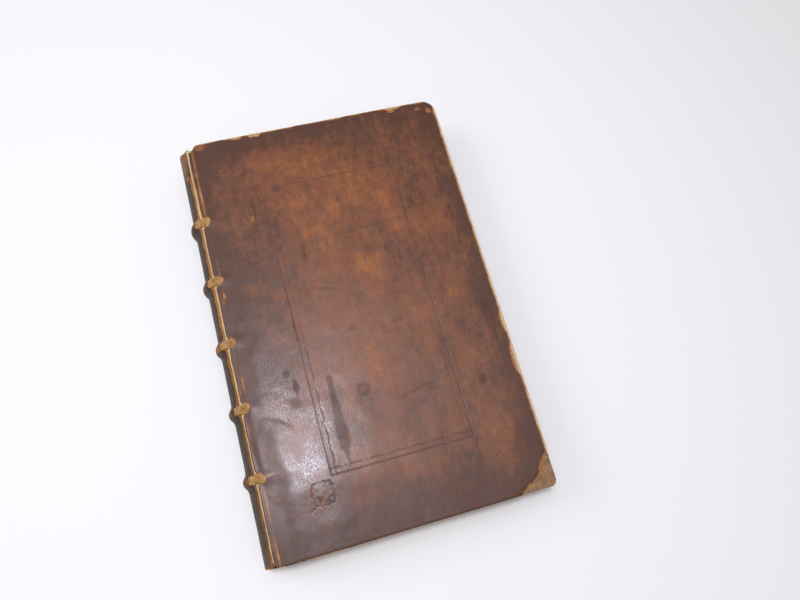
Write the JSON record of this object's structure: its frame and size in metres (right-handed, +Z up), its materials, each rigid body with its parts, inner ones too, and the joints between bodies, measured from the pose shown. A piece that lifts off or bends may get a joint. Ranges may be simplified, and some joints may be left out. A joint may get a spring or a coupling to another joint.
{
  "type": "antique leather book",
  "caption": "Closed folio in brown calf with raised bands, laced pasteboard covers that open on worn joints, and a blind-tooled panel.",
  "frame": {"origin": "centre of the book's footprint, on the surface that the back cover lies on", "axes": "+Z up through the front cover, +Y towards the head, +X from the spine towards the fore-edge"},
  "size_m": [0.217, 0.326, 0.04],
  "materials": {
    "calf": "satin",
    "pages": "matte",
    "pastedown": "matte",
    "board": "matte",
    "lining": "matte",
    "cord": "matte",
    "endband": "matte"
  },
  "bodies": {
    "text_block": {"text_block": "pages", "spine_lining_1": "lining", "spine_lining_2": "lining", "spine_lining_3": "lining", "spine_lining_4": "lining", "spine_lining_5": "lining", "spine_lining_6": "lining", "sewing_cord_1": "cord", "sewing_cord_2": "cord", "sewing_cord_3": "cord", "sewing_cord_4": "cord", "sewing_cord_5": "cord", "head_endband": "endband", "tail_endband": "endband", "spine_leather": "calf"},
    "front_cover": {"front_leather": "calf", "front_board": "board", "front_pastedown": "pastedown", "front_cord_slip_1": "cord", "front_cord_slip_2": "cord", "front_cord_slip_3": "cord", "front_cord_slip_4": "cord", "front_cord_slip_5": "cord"},
    "back_cover": {"back_leather": "calf", "back_board": "board", "back_pastedown": "pastedown", "back_cord_slip_1": "cord", "back_cord_slip_2": "cord", "back_cord_slip_3": "cord", "back_cord_slip_4": "cord", "back_cord_slip_5": "cord"}
  },
  "joints": [
    {"name": "front_joint", "type": "hinge", "parent": "text_block", "child": "front_cover", "pos_m": [-0.097, 0, 0.04], "axis": [0, -1, 0], "range_deg": [0, 180]},
    {"name": "back_joint", "type": "hinge", "parent": "text_block", "child": "back_cover", "pos_m": [-0.097, 0, 0], "axis": [0, 1, 0], "range_deg": [0, 180]}
  ]
}
